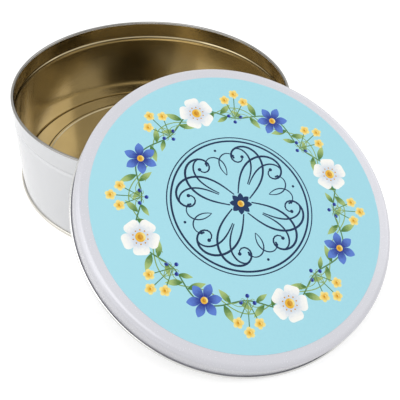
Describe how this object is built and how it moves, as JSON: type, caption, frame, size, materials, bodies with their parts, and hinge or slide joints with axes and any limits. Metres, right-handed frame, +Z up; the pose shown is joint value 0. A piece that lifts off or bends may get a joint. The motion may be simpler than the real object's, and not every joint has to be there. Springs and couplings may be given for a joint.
{
  "type": "cookie tin",
  "caption": "Round tinplate cookie tin with a double-seamed base, rolled rim and pressed bead, standing open with its slip lid leaning on the rim.",
  "frame": {"origin": "centre of the ring on which the tin stands, at the level of the surface under it", "axes": "+Z up along the tin's axis, -Y towards the side where the lid leans, +X to the right of someone facing the tin from the lid's side"},
  "size_m": [0.2108, 0.3282, 0.1044],
  "materials": {
    "coated_tinplate": "gloss white enamel outside, gold food lacquer inside",
    "base_tinplate": "gold food lacquer inside, plain bright tinplate at the seam",
    "lid_tinplate": "satin silver lacquer",
    "printed_film": "smooth printed film"
  },
  "bodies": {
    "tin": {"body_wall": "coated_tinplate", "base_panel": "base_tinplate"},
    "lid": {"lid_shell": "lid_tinplate", "print_disc": "printed_film"}
  },
  "joints": [
    {"name": "lid_swing", "type": "hinge", "parent": "tin", "child": "lid", "pos_m": [0, 0.03204, -0.20573], "axis": [-1, 0, 0], "range_deg": [0, 25.68]}
  ]
}
